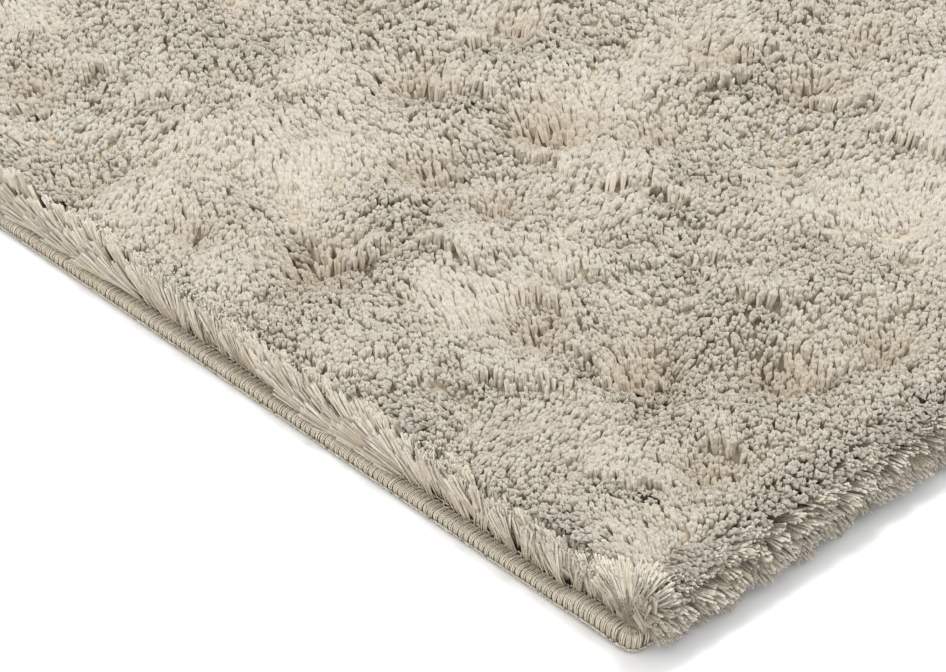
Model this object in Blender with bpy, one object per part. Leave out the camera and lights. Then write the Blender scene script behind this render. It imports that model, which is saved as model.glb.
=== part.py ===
"""A shag rug, 60 x 90 cm, lying flat: a woven backing whose two short ends are turned under
and glued, a deep cut pile tufted through it, and an overlocked yarn bead round each long edge.

Metres. X runs across the rug, Y along it, Z up. The origin is on the floor under its middle.
"""

import math
import random

import bmesh
import bpy
from mathutils import Vector

WIDTH = 0.600
LENGTH = 0.900
CLEARANCE = 0.0003
TOUCH = 0.0001

# Backing: one woven cloth with a coated underside. Each short end is turned under.
CLOTH = 0.0030
HEM_GAP = 0.0004
HEM_DEPTH = 0.030
HEM_RISE = 0.012
HEM_THICK = 2 * CLOTH + HEM_GAP
FOLD_STEPS = 8
RISE_STEPS = 6
FLAP_END = LENGTH / 2 - HEM_DEPTH
RISE_END = FLAP_END - 0.001
RISE_START = RISE_END - HEM_RISE

# Overlocked bead: yarn wound over each long edge, standing proud of the cloth.
BEAD_WIDTH = 0.0080
BEAD_SIDE = 0.0030
BEAD_OVER = 0.0037
BEAD_ROUND = 0.0026
BEAD_CORNER_STEPS = 4
BEAD_INNER = WIDTH / 2 - BEAD_WIDTH
CLOTH_HALF = WIDTH / 2 - BEAD_SIDE - CLEARANCE

# Pile: a lumpy slab of packed locks that bulges past the cloth, most of all at the short ends.
PILE_TOP = 0.0350
RIM_DROP = 0.0035
GRID_PITCH = 0.020
RIM_CUTS = 2
RIM_PITCH = GRID_PITCH / (RIM_CUTS + 1)
CORNER_PULL = 0.0035
TOP_HALF_X = 0.292
TOP_HALF_Y = 0.452
ROOT_X = BEAD_INNER - 2 * CLEARANCE
ROOT_Y = LENGTH / 2 - 0.0010

# The slab's wall, ring by ring below the rim: how far out each ring stands on the long sides
# and on the short ends, and its height. The collar draws in to pass inside the beads.
WALL = (
    # ring, half_x, half_y, height
    ("shoulder", 0.2970, 0.4575, 0.0255),
    ("belly", 0.2975, 0.4595, 0.0180),
    ("collar", ROOT_X, 0.4555, 0.0112),
)

# Partings seen from above, where the locks lean away on all sides and open a hollow.
PARTINGS = (
    # x, y, reach, depth
    (-0.240, -0.200, 0.026, 0.010),
    (-0.158, -0.182, 0.020, 0.010),
    (-0.155, -0.222, 0.018, 0.008),
    (-0.095, -0.196, 0.026, 0.011),
    (-0.112, -0.128, 0.020, 0.008),
    (-0.062, -0.232, 0.019, 0.008),
    (0.004, -0.206, 0.020, 0.008),
    (0.020, -0.256, 0.022, 0.009),
    (-0.190, -0.350, 0.026, 0.009),
    (-0.150, -0.392, 0.024, 0.011),
    (-0.108, -0.408, 0.022, 0.009),
    (-0.264, -0.148, 0.020, 0.007),
    (-0.276, -0.085, 0.018, 0.006),
    (-0.245, -0.010, 0.022, 0.008),
    (-0.048, -0.122, 0.020, 0.007),
    (-0.205, -0.300, 0.020, 0.007),
    (-0.222, -0.416, 0.020, 0.007),
)

# Swells and dips of the pile where no parting is charted: a loose grid, shaken.
SWELL_PITCH = 0.060
SWELL_SHAKE = 0.020
SWELL_REACH = (0.020, 0.032)
SWELL_HEIGHT = (-0.0070, 0.0050)
SWELL_SEED = 11
CHARTED_REACH = 0.040

# Locks that stand out of the slab's wall, on every fourth face of a ring: how far the tip
# stands out and how much it rises or hangs.
LOCKS = (
    # side, ring, out, rise
    ("long", "shoulder", 0.0028, 0.0045),
    ("long", "belly", 0.0034, 0.0060),
    ("short", "shoulder", 0.0062, 0.0010),
    ("short", "belly", 0.0070, -0.0050),
    ("short", "collar", 0.0066, -0.0070),
)
LOCK_EVERY = 4
LOCK_SLANT = 0.0085
LOCK_SPREAD = 0.0012
LOCK_STEPS = (
    # share of the way to the tip, share of the root's width
    (0.50, 0.72),
    (1.00, 0.34),
)


def clear_scene():
    for obj in list(bpy.data.objects):
        bpy.data.objects.remove(obj)


def finish(name, colour, roughness):
    made = bpy.data.materials.new(name)
    made.use_nodes = True
    shader = made.node_tree.nodes["Principled BSDF"]
    shader.inputs["Base Color"].default_value = (*colour, 1.0)
    shader.inputs["Roughness"].default_value = roughness
    shader.inputs["Metallic"].default_value = 0.0
    return made


def add_mesh(name, shape, rug, material, crease_deg):
    """Closes off a bmesh as one named object of the rug, smooth but for its creases."""
    bmesh.ops.recalc_face_normals(shape, faces=shape.faces)
    mesh = bpy.data.meshes.new(name)
    shape.to_mesh(mesh)
    shape.free()
    mesh.shade_smooth()
    mesh.set_sharp_from_angle(angle=math.radians(crease_deg))
    mesh.materials.append(material)
    rug.objects.link(bpy.data.objects.new(name, mesh))


# ---------------------------------------------------------------- backing


def cloth_top(y):
    """Height of the backing's upper face: one layer in the field, two where an end is turned under."""
    t = min(1.0, max(0.0, (abs(y) - RISE_START) / HEM_RISE))
    return CLOTH + (HEM_THICK - CLOTH) * t * t * (3 - 2 * t)


def rise_stations():
    return [RISE_START + HEM_RISE * k / RISE_STEPS for k in range(RISE_STEPS + 1)]


def hem_outline():
    """One half of the backing's section, as (y, z): along the top, round the fold, back along
    the flap, in between the layers and home along the underside."""
    middle = HEM_THICK / 2
    centre = LENGTH / 2 - middle
    turns = [math.pi / 2 - math.pi * k / FOLD_STEPS for k in range(FOLD_STEPS + 1)]
    outer = [(centre + middle * math.cos(a), middle * (1 + math.sin(a))) for a in turns]
    slit = HEM_GAP / 2
    inner = [(centre + slit * math.cos(a), middle + slit * math.sin(a)) for a in reversed(turns)]
    top = [(y, cloth_top(y)) for y in rise_stations()]
    under = [(y, z - CLOTH) for y, z in reversed(top)]
    return top + outer + [(FLAP_END, 0.0), (FLAP_END, CLOTH)] + inner + under


def add_backing(rug, material):
    half = hem_outline()
    outline = half + [(-y, z) for y, z in reversed(half)]
    curve = bpy.data.curves.new("backing", "CURVE")
    curve.dimensions = "2D"
    curve.fill_mode = "BOTH"
    curve.extrude = CLOTH_HALF
    spline = curve.splines.new("POLY")
    spline.points.add(len(outline) - 1)
    for point, (y, z) in zip(spline.points, outline):
        point.co = (y, z, 0.0, 1.0)
    spline.use_cyclic_u = True
    curve.materials.append(material)
    obj = bpy.data.objects.new("backing", curve)
    obj.rotation_euler = (math.pi / 2, 0.0, math.pi / 2)
    rug.objects.link(obj)


# ---------------------------------------------------------------- overlocked beads


def bead_section(y):
    """The bead's section at y, as (out, z) with out counted from its inner edge: rounded above
    and outside, and notched below where the cloth's edge lies inside it."""
    lip = cloth_top(y) + CLEARANCE
    top = lip + BEAD_OVER
    notch = BEAD_WIDTH - BEAD_SIDE
    corners = (
        # out and z of the rounding's centre, angle that it starts from
        (BEAD_ROUND, top - BEAD_ROUND, math.pi),
        (BEAD_WIDTH - BEAD_ROUND, top - BEAD_ROUND, math.pi / 2),
        (BEAD_WIDTH - BEAD_ROUND, BEAD_ROUND, 0.0),
    )
    points = [(notch, 0.0), (notch, lip), (0.0, lip)]
    for out, z, start in corners:
        for k in range(BEAD_CORNER_STEPS + 1):
            angle = start - math.pi / 2 * k / BEAD_CORNER_STEPS
            points.append((out + BEAD_ROUND * math.cos(angle), z + BEAD_ROUND * math.sin(angle)))
    return points


def add_bead(name, side, rug, material):
    """Lofts the section along one long edge; side is -1 for the left edge and 1 for the right."""
    half = rise_stations() + [LENGTH / 2]
    stations = [-y for y in reversed(half)] + half
    shape = bmesh.new()
    rings = []
    for y in stations:
        rings.append([shape.verts.new((side * (BEAD_INNER + out), y, z)) for out, z in bead_section(y)])
    count = len(rings[0])
    for near, far in zip(rings, rings[1:]):
        for k in range(count):
            after = (k + 1) % count
            shape.faces.new((near[k], near[after], far[after], far[k]))
    shape.faces.new(rings[0])
    shape.faces.new(rings[-1])
    add_mesh(name, shape, rug, material, crease_deg=40)


# ---------------------------------------------------------------- pile


def swells():
    """The charted partings, then seeded swells and dips wherever none is charted."""
    draw = random.Random(SWELL_SEED)
    made = [(x, y, reach, -depth) for x, y, reach, depth in PARTINGS]
    for i in range(round(WIDTH / SWELL_PITCH)):
        for j in range(round(LENGTH / SWELL_PITCH)):
            x = (i + 0.5) * SWELL_PITCH - WIDTH / 2 + draw.uniform(-SWELL_SHAKE, SWELL_SHAKE)
            y = (j + 0.5) * SWELL_PITCH - LENGTH / 2 + draw.uniform(-SWELL_SHAKE, SWELL_SHAKE)
            reach = draw.uniform(*SWELL_REACH)
            height = draw.uniform(*SWELL_HEIGHT)
            if all(math.hypot(x - px, y - py) > CHARTED_REACH for px, py, _, _ in PARTINGS):
                made.append((x, y, reach, height))
    return made


def pile_height(x, y, lumps):
    lift = 0.0
    for px, py, reach, height in lumps:
        lift += height * math.exp(-((x - px) ** 2 + (y - py) ** 2) / reach**2)
    return PILE_TOP + lift


def sign_beyond(value, limit):
    """-1 or 1 for a coordinate out at the limit on that side, and 0 for one inside it."""
    return math.copysign(1.0, value) if abs(value) > limit - TOUCH else 0.0


def next_ring(shape, edges):
    """Extrudes an open loop of edges and returns its new vertices and edges."""
    made = bmesh.ops.extrude_edge_only(shape, edges=edges)["geom"]
    verts = {g for g in made if isinstance(g, bmesh.types.BMVert)}
    loop = [g for g in made if isinstance(g, bmesh.types.BMEdge) and verts.issuperset(g.verts)]
    return verts, loop


def drop_walls(shape):
    """Drops the wall from the top's edge, ring by ring. Returns each ring's faces by name, and
    the vertices of the last loop, which stands on the cloth."""
    edges = [e for e in shape.edges if e.is_boundary]
    faces = {}
    for ring, half_x, half_y, height in WALL:
        above = set(shape.faces)
        verts, edges = next_ring(shape, edges)
        for vert in verts:
            side_x = sign_beyond(vert.co.x, TOP_HALF_X)
            side_y = sign_beyond(vert.co.y, TOP_HALF_Y)
            vert.co.x = side_x * half_x if side_x else vert.co.x
            vert.co.y = side_y * half_y if side_y else vert.co.y
            vert.co.z = height
        faces[ring] = [f for f in shape.faces if f not in above]
    root, _ = next_ring(shape, edges)
    for vert in root:
        side_y = sign_beyond(vert.co.y, TOP_HALF_Y)
        vert.co.y = side_y * ROOT_Y if side_y else vert.co.y
        vert.co.z = cloth_top(abs(vert.co.y) + RIM_PITCH) + CLEARANCE
    return faces, root


def close_underside(shape, root):
    """Spans the underside between the long sides, so that it follows the step in the cloth."""
    left = sorted((v for v in root if v.co.x < TOUCH - ROOT_X), key=lambda v: v.co.y)
    right = sorted((v for v in root if v.co.x > ROOT_X - TOUCH), key=lambda v: v.co.y)
    front = sorted((v for v in root if v.co.y < TOUCH - ROOT_Y), key=lambda v: v.co.x)
    back = sorted((v for v in root if v.co.y > ROOT_Y - TOUCH), key=lambda v: v.co.x)
    for k in range(1, len(left) - 2):
        shape.faces.new((left[k], left[k + 1], right[k + 1], right[k]))
    shape.faces.new(front + [right[1], left[1]])
    shape.faces.new(back + [right[-2], left[-2]])


def soften_corners(shape):
    """Draws the slab's four upright corners in, as the locks there fan apart."""
    collar_height = WALL[-1][-1]
    for vert in shape.verts:
        side_x = sign_beyond(vert.co.x, ROOT_X)
        side_y = sign_beyond(vert.co.y, TOP_HALF_Y)
        if side_x and side_y and vert.co.z > collar_height + TOUCH:
            vert.co.x -= side_x * CORNER_PULL
            vert.co.y -= side_y * CORNER_PULL


def wall_place(face):
    """Where a wall face is: its side, the way out, the way along, and its number along. Each
    lock and the one opposite it across the rug's middle get the same number."""
    centre = face.calc_center_median()
    if abs(centre.x) > TOP_HALF_X - CORNER_PULL and abs(centre.y) < TOP_HALF_Y - GRID_PITCH:
        turn = math.copysign(1.0, centre.x)
        return "long", Vector((turn, 0, 0)), Vector((0, turn, 0)), math.floor(turn * centre.y / RIM_PITCH)
    if abs(centre.y) > TOP_HALF_Y - CORNER_PULL and abs(centre.x) < TOP_HALF_X - RIM_PITCH:
        turn = math.copysign(1.0, centre.y)
        return "short", Vector((0, turn, 0)), Vector((turn, 0, 0)), math.floor(turn * centre.x / RIM_PITCH)
    return "corner", Vector(), Vector(), 0


def grow_lock(shape, face, reach):
    """Draws one four-sided lock out of a wall face: it bends as it goes, and thins."""
    root = face.calc_center_median()
    width_before = 1.0
    for share, width in LOCK_STEPS:
        face = bmesh.ops.extrude_discrete_faces(shape, faces=[face])["faces"][0]
        centre = face.calc_center_median()
        middle = root + Vector((reach.x * share, reach.y * share, reach.z * share**2))
        for vert in face.verts:
            vert.co = middle + (vert.co - centre) * width / width_before
        width_before = width


def grow_locks(shape, faces):
    chosen = []
    for row, (wanted, ring, out, rise) in enumerate(LOCKS):
        for face in faces[ring]:
            side, outward, along, number = wall_place(face)
            if side != wanted or (number + 2 * row) % LOCK_EVERY:
                continue
            draw = random.Random(f"{side} {ring} {number}")
            stand_out = out + draw.uniform(-LOCK_SPREAD, LOCK_SPREAD)
            slant = draw.uniform(-LOCK_SLANT, LOCK_SLANT)
            lift = rise + draw.uniform(-LOCK_SPREAD, LOCK_SPREAD)
            chosen.append((face, outward * stand_out + along * slant + Vector((0, 0, lift))))
    for face, reach in chosen:
        grow_lock(shape, face, reach)


def add_pile(rug, material):
    shape = bmesh.new()
    cells_x = round(2 * TOP_HALF_X / GRID_PITCH)
    cells_y = round(2 * TOP_HALF_Y / GRID_PITCH)
    bmesh.ops.create_grid(shape, x_segments=cells_x, y_segments=cells_y, size=1.0)
    bmesh.ops.scale(shape, vec=(TOP_HALF_X, TOP_HALF_Y, 1.0), verts=shape.verts)
    rim = [e for e in shape.edges if e.is_boundary]
    bmesh.ops.subdivide_edges(shape, edges=rim, cuts=RIM_CUTS)
    lumps = swells()
    for vert in shape.verts:
        drop = RIM_DROP if vert.is_boundary else 0.0
        vert.co.z = pile_height(vert.co.x, vert.co.y, lumps) - drop
    faces, root = drop_walls(shape)
    close_underside(shape, root)
    soften_corners(shape)
    grow_locks(shape, faces)
    add_mesh("pile", shape, rug, material, crease_deg=50)


clear_scene()
rug = bpy.data.collections.new("shag_rug")
bpy.context.scene.collection.children.link(rug)
overlock_yarn = finish("overlock_yarn", (0.42, 0.38, 0.29), roughness=0.75)
add_backing(rug, finish("backing_cloth", (0.36, 0.31, 0.23), roughness=0.95))
add_bead("overlock_left", -1, rug, overlock_yarn)
add_bead("overlock_right", 1, rug, overlock_yarn)
add_pile(rug, finish("pile_yarn", (0.54, 0.49, 0.41), roughness=0.90))
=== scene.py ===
"""The look of a 60 x 90 cm shag rug: a woven backing, wound and chained yarn round both long
edges, and a deep pile of soft locks that part, swirl and hang over the short ends.

Metres throughout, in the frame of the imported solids.
"""

import math
import random

import bmesh
import bpy
import numpy as np
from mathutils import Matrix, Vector
from mathutils.kdtree import KDTree


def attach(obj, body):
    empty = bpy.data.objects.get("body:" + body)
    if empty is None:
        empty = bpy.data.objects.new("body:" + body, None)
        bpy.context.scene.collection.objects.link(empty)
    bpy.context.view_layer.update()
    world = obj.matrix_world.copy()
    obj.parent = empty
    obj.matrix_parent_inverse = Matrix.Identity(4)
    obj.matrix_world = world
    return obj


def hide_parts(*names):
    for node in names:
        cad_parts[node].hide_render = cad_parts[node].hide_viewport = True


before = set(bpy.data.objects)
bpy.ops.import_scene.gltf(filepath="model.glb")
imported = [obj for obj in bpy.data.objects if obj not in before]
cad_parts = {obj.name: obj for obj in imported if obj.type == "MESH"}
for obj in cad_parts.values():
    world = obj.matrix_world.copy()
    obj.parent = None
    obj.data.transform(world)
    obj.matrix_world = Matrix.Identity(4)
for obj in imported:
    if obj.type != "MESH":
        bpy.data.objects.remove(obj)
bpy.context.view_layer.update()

# ---- camera, floor and light
# A long lens looks down on one corner of the rug. The floor is white studio card, and the
# light is a large soft window high up behind the left long edge, with a pale room all round.

CAMERA_AT = (-1.10754, -1.21181, 0.98646)
CAMERA_ELEVATION = 36.838
CAMERA_AZIMUTH = -43.515
LENS = 144.6
NEAREST = 0.05

camera = bpy.data.objects.new("camera", bpy.data.cameras.new("camera"))
camera.location = CAMERA_AT
camera.rotation_euler = (math.radians(90 - CAMERA_ELEVATION), 0.0, math.radians(CAMERA_AZIMUTH))
camera.data.lens = LENS
camera.data.clip_start = NEAREST
bpy.context.scene.collection.objects.link(camera)
bpy.context.scene.camera = camera

FLOOR_HALF = 6.0
FLOOR_DROP = 0.0002
FLOOR_WHITE = (0.93, 0.93, 0.93)


def set_down(name, shape):
    """Makes a finished bmesh a piece of its own, at the origin."""
    mesh = bpy.data.meshes.new(name)
    shape.to_mesh(mesh)
    shape.free()
    piece = bpy.data.objects.new(name, mesh)
    bpy.context.scene.collection.objects.link(piece)
    return piece


def new_finish(name, settings):
    """A material with its node tree and its shader, whose own sockets take the settings."""
    finish = bpy.data.materials.new(name)
    finish.use_nodes = True
    shader = finish.node_tree.nodes["Principled BSDF"]
    for socket, value in settings.items():
        shader.inputs[socket].default_value = value
    return finish, finish.node_tree, shader


floor_card = bmesh.new()
bmesh.ops.create_grid(floor_card, x_segments=1, y_segments=1, size=FLOOR_HALF)
bmesh.ops.translate(floor_card, vec=(0.0, 0.0, -FLOOR_DROP), verts=floor_card.verts)
floor = set_down("floor", floor_card)
matt_white = {"Base Color": (*FLOOR_WHITE, 1.0), "Roughness": 1.0, "Specular IOR Level": 0.0}
floor.data.materials.append(new_finish("white_card", matt_white)[0])

ROOM_LIGHT = 1.03
LAMPS = (
    # name, place, width, height, watts
    ("window", (1.24, 1.58, 4.40), 2.0, 2.3, 238.0),
    ("fill", (-2.4, -1.6, 0.90), 1.6, 1.2, 14.0),
)

room = bpy.data.worlds.new("room")
room.use_nodes = True
room.node_tree.nodes["Background"].inputs["Color"].default_value = (1.0, 1.0, 1.0, 1.0)
room.node_tree.nodes["Background"].inputs["Strength"].default_value = ROOM_LIGHT
bpy.context.scene.world = room
bpy.context.scene.view_settings.view_transform = "Standard"
for name, place, width, height, watts in LAMPS:
    lamp = bpy.data.objects.new(name, bpy.data.lights.new(name, "AREA"))
    lamp.data.shape = "RECTANGLE"
    lamp.data.size = width
    lamp.data.size_y = height
    lamp.data.energy = watts
    lamp.location = place
    lamp.rotation_euler = (-Vector(place)).to_track_quat("-Z", "Y").to_euler()
    bpy.context.scene.collection.objects.link(lamp)

# ---- backing
# One coarse woven cloth with a rubbed-in size on its underside. Each short end is turned
# under by 30 mm and glued down, which leaves a round fold under the pile.

WIDTH = 0.600
LENGTH = 0.900
CLOTH = 0.0030
HEM_GAP = 0.0004
HEM_DEPTH = 0.030
HEM_RISE = 0.012
HEM_THICK = 2 * CLOTH + HEM_GAP
CLOTH_CLEAR = 0.0033
CLOTH_HALF = WIDTH / 2 - CLOTH_CLEAR
FOLD_STEPS = 10
RISE_STEPS = 8
FLAP_END = LENGTH / 2 - HEM_DEPTH
FLAP_CLEAR = 0.001
RISE_START = FLAP_END - FLAP_CLEAR - HEM_RISE
CLOTH_CELLS = 24
CLOTH_COLOUR = (0.340, 0.295, 0.220)
CLOTH_SHADE = (0.200, 0.165, 0.110)
CREASE_ANGLE = 50.0
WEAVE_SCALE = 26.0
WEAVE_RELIEF = 0.0006
BLOTCH_SCALE = 40.0


def cloth_top(y):
    """Height of the backing's upper face: one layer in the field, two where an end is turned under."""
    t = np.clip((np.abs(y) - RISE_START) / HEM_RISE, 0.0, 1.0)
    return CLOTH + (HEM_THICK - CLOTH) * t * t * (3 - 2 * t)


def hem_outline():
    """One half of the cloth's section as (y, z): over the top, round the fold, back along the
    flap, in between the layers and home along the underside."""
    middle = HEM_THICK / 2
    centre = LENGTH / 2 - middle
    slit = HEM_GAP / 2
    turns = [math.pi / 2 - math.pi * k / FOLD_STEPS for k in range(FOLD_STEPS + 1)]
    outer = [(centre + middle * math.cos(a), middle * (1 + math.sin(a))) for a in turns]
    inner = [(centre + slit * math.cos(a), middle + slit * math.sin(a)) for a in reversed(turns)]
    rise = [RISE_START + HEM_RISE * k / RISE_STEPS for k in range(RISE_STEPS + 1)]
    top = [(y, float(cloth_top(y))) for y in rise]
    under = [(y, z - CLOTH) for y, z in reversed(top)]
    return top + outer + [(FLAP_END, 0.0), (FLAP_END, CLOTH)] + inner + under


def new_node(tree, kind, **values):
    """Adds a shader node and sets its plain inputs by name, or its own properties."""
    node = tree.nodes.new("ShaderNode" + kind)
    for name, value in values.items():
        if name in node.inputs:
            node.inputs[name].default_value = value
        else:
            setattr(node, name, value)
    return node


def wire(tree, *runs):
    """Joins nodes. Each run is a node, its output, the node after it and that one's input."""
    for source, given, target, taken in runs:
        tree.links.new(source.outputs[given], target.inputs[taken])


def mix_of(tree, first, second):
    """A shader node that mixes two colours."""
    node = new_node(tree, "Mix", data_type="RGBA")
    node.inputs["A"].default_value = (*first, 1.0)
    node.inputs["B"].default_value = (*second, 1.0)
    return node


half = hem_outline()
section = half + [(-y, z) for y, z in reversed(half)]
weave = bmesh.new()
loop = [weave.verts.new((-CLOTH_HALF, y, z)) for y, z in section]
end_cap = weave.faces.new(loop)
moving = [end_cap]
for _ in range(CLOTH_CELLS):
    made = bmesh.ops.extrude_face_region(weave, geom=moving)["geom"]
    moving = [g for g in made if isinstance(g, bmesh.types.BMFace)]
    rows = [g for g in made if isinstance(g, bmesh.types.BMVert)]
    bmesh.ops.translate(weave, vec=(2 * CLOTH_HALF / CLOTH_CELLS, 0.0, 0.0), verts=rows)
inner_caps = [
    face
    for face in weave.faces
    if len(face.verts) == len(section)
    and abs(abs(face.calc_center_median().x) - CLOTH_HALF) > CLOTH
]
bmesh.ops.delete(weave, geom=inner_caps, context="FACES_ONLY")
bmesh.ops.recalc_face_normals(weave, faces=weave.faces)
cloth = set_down("backing_cloth", weave)
cloth.data.shade_smooth()
cloth.data.set_sharp_from_angle(angle=math.radians(CREASE_ANGLE))

canvas, tree, shader = new_finish("backing_canvas", {"Roughness": 0.95})
place = new_node(tree, "TexCoord")
warp, weft = (
    new_node(tree, "TexWave", bands_direction=way, Scale=WEAVE_SCALE, Distortion=0.6)
    for way in "XY"
)
crossing = new_node(tree, "Math", operation="MULTIPLY")
blotch = new_node(tree, "TexNoise", Scale=BLOTCH_SCALE, Detail=4.0)
mixed = new_node(tree, "Math", operation="MULTIPLY")
dye = mix_of(tree, CLOTH_SHADE, CLOTH_COLOUR)
relief = new_node(tree, "Bump", Strength=0.7, Distance=WEAVE_RELIEF)
wire(
    tree,
    (place, "Object", warp, "Vector"),
    (place, "Object", weft, "Vector"),
    (place, "Object", blotch, "Vector"),
    (warp, "Fac", crossing, 0),
    (weft, "Fac", crossing, 1),
    (crossing, 0, mixed, 0),
    (blotch, "Fac", mixed, 1),
    (mixed, 0, dye, "Factor"),
    (dye, "Result", shader, "Base Color"),
    (crossing, 0, relief, "Height"),
    (relief, "Normal", shader, "Normal"),
)
cloth.data.materials.append(canvas)
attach(cloth, "root")
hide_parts("backing")

# ---- yarn, for pile and edges
# Every lock of the pile, and every thread of the bound edges, is a bundle of fine fibres.
# Each is a closed, tapering body grown along a bent line; a whole row of them is one mesh.

UPWARDS = np.array([[0.0, 0.0, 1.0]])
FIBRE_SHIFT = 97.0
FLECK_SCALE = 1500.0
FLECK_DRAWN_OUT = (1.0, 1.0, 0.22)
YARN_SHEEN = {
    "Roughness": 0.85,
    "Specular IOR Level": 0.2,
    "Sheen Weight": 0.3,
    "Sheen Roughness": 0.5,
}
FIBRE_RANGE = (0.75, 1.25)
UNTINTED = (1.0, 1.0, 1.0)
FIBRE_RELIEF = 0.8


def unit(vectors):
    """Each vector of an array, at a length of one."""
    return vectors / np.linalg.norm(vectors, axis=-1, keepdims=True)


def grow(name, line, radius, sides, turn, flat, along, tint, facing=UPWARDS, softness=0.0):
    """One mesh of closed tapering bodies. line is (bodies, points, 3): its first and last
    points are the body's two ends, and a ring of the given radius is set at each point
    between. turn and flat turn and flatten each body's section; along is each point's share
    of the length, for the fibre map, and tint is each body's colour cast: a random tone, and in
    the pile's hollows also painted shade. Fine fibres catch light from all round, so a body's
    shading turns towards facing, by the share softness."""
    bodies, points, _ = line.shape
    rings = points - 2
    heading = unit(line[:, 2:] - line[:, :-2])
    sideways = np.stack([np.cos(turn), np.sin(turn), np.zeros(bodies)], axis=1)[:, None, :]
    first = unit(sideways - heading * (sideways * heading).sum(axis=2, keepdims=True))
    second = np.cross(heading, first)
    angle = 2 * math.pi * np.arange(sides) / sides
    around = (
        np.cos(angle)[None, None, :, None] * first[:, :, None, :]
        + np.sin(angle)[None, None, :, None] * second[:, :, None, :] * flat[:, None, None, None]
    )
    ring_points = line[:, 1:-1, None, :] + around * radius[:, :, None, None]
    corners = np.concatenate(
        [line[:, :1], ring_points.reshape(bodies, rings * sides, 3), line[:, -1:]], axis=1
    )

    # One body's faces: a fan at the root, quads between rings, a fan at the tip.
    last = 1 + rings * sides
    faces = []
    spots = []
    for k in range(sides):
        after = (k + 1) % sides
        faces.append((0, 1 + after, 1 + k))
        spots.append(((k + 0.5, 0), (k + 1, 1), (k, 1)))
        for ring in range(rings - 1):
            low = 1 + ring * sides
            high = low + sides
            faces.append((low + k, low + after, high + after, high + k))
            spots.append(((k, ring + 1), (k + 1, ring + 1), (k + 1, ring + 2), (k, ring + 2)))
        top = last - sides
        faces.append((top + k, top + after, last))
        spots.append(((k, rings), (k + 1, rings), (k + 0.5, rings + 1)))
    face_corners = np.concatenate([np.array(face) for face in faces])
    sizes = np.array([len(face) for face in faces])
    flat_spots = np.array([spot for face in spots for spot in face])
    fibre = np.stack([flat_spots[:, 0] / sides, np.asarray(along)[flat_spots[:, 1].astype(int)]], axis=1)
    count = corners.shape[1]
    mesh = bpy.data.meshes.new(name)
    mesh.vertices.add(bodies * count)
    mesh.vertices.foreach_set("co", corners.astype(np.float32).ravel())
    mesh.loops.add(bodies * len(face_corners))
    shifted = face_corners[None, :] + count * np.arange(bodies)[:, None]
    mesh.loops.foreach_set("vertex_index", shifted.astype(np.int32).ravel())
    mesh.polygons.add(bodies * len(faces))
    starts = np.concatenate([[0], np.cumsum(np.tile(sizes, bodies))[:-1]])
    mesh.polygons.foreach_set("loop_start", starts.astype(np.int32))
    mesh.update(calc_edges=True)
    mesh.shade_smooth()
    outward = unit(around.reshape(bodies, rings * sides, 3))
    outward = np.concatenate([-heading[:, :1], outward, heading[:, -1:]], axis=1)
    outward = outward * (1 - softness) + facing[:, None, :] * softness
    outward /= np.maximum(np.linalg.norm(outward, axis=2, keepdims=True), 1e-6)
    mesh.normals_split_custom_set_from_vertices(outward.reshape(-1, 3).tolist())
    offset = np.stack([np.floor(tint * FIBRE_SHIFT) + turn, np.zeros(bodies)], axis=1)
    fibre_map = mesh.uv_layers.new(name="fibre")
    fibre_map.data.foreach_set("uv", (fibre[None] + offset[:, None]).astype(np.float32).ravel())
    shade = mesh.attributes.new("tint", "FLOAT", "POINT")
    shade.data.foreach_set("value", np.repeat(tint, count).astype(np.float32))
    piece = bpy.data.objects.new(name, mesh)
    bpy.context.scene.collection.objects.link(piece)
    return piece


def bent(start, control, end, shares):
    """Points along a curve from start to end that is pulled towards control, one row a body."""
    t = np.asarray(shares)[None, :, None]
    return start[:, None] * (1 - t) ** 2 + 2 * control[:, None] * t * (1 - t) + end[:, None] * t**2


fibres = bpy.data.node_groups.new("fibres", "ShaderNodeTree")
for name, low, high in (("Across", 1.0, 60.0), ("Along", 0.1, 20.0)):
    socket = fibres.interface.new_socket(name, in_out="INPUT", socket_type="NodeSocketFloat")
    socket.min_value = low
    socket.max_value = high
for name in ("Streaks", "Flecks", "Share", "Tint"):
    fibres.interface.new_socket(name, in_out="OUTPUT", socket_type="NodeSocketFloat")
wanted = fibres.nodes.new("NodeGroupInput")
given = fibres.nodes.new("NodeGroupOutput")
mapped = new_node(fibres, "UVMap", uv_map="fibre")
split = new_node(fibres, "SeparateXYZ")
across = new_node(fibres, "Math", operation="MULTIPLY")
lengthways = new_node(fibres, "Math", operation="MULTIPLY")
stretched = new_node(fibres, "CombineXYZ")
streak = new_node(fibres, "TexNoise", noise_dimensions="2D", Scale=1.0, Detail=2.0)
in_space = new_node(fibres, "TexCoord")
drawn_out = new_node(fibres, "VectorMath", operation="MULTIPLY")
drawn_out.inputs[1].default_value = FLECK_DRAWN_OUT
fleck = new_node(fibres, "TexNoise", Scale=FLECK_SCALE, Detail=1.0)
body_tint = new_node(fibres, "Attribute", attribute_name="tint")
wire(
    fibres,
    (mapped, "UV", split, 0),
    (split, "X", across, 0),
    (wanted, "Across", across, 1),
    (split, "Y", lengthways, 0),
    (wanted, "Along", lengthways, 1),
    (across, 0, stretched, "X"),
    (lengthways, 0, stretched, "Y"),
    (stretched, 0, streak, "Vector"),
    (in_space, "Object", drawn_out, 0),
    (drawn_out, "Vector", fleck, "Vector"),
    (streak, "Fac", given, "Streaks"),
    (fleck, "Fac", given, "Flecks"),
    (split, "Y", given, "Share"),
    (body_tint, "Fac", given, "Tint"),
)


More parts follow.
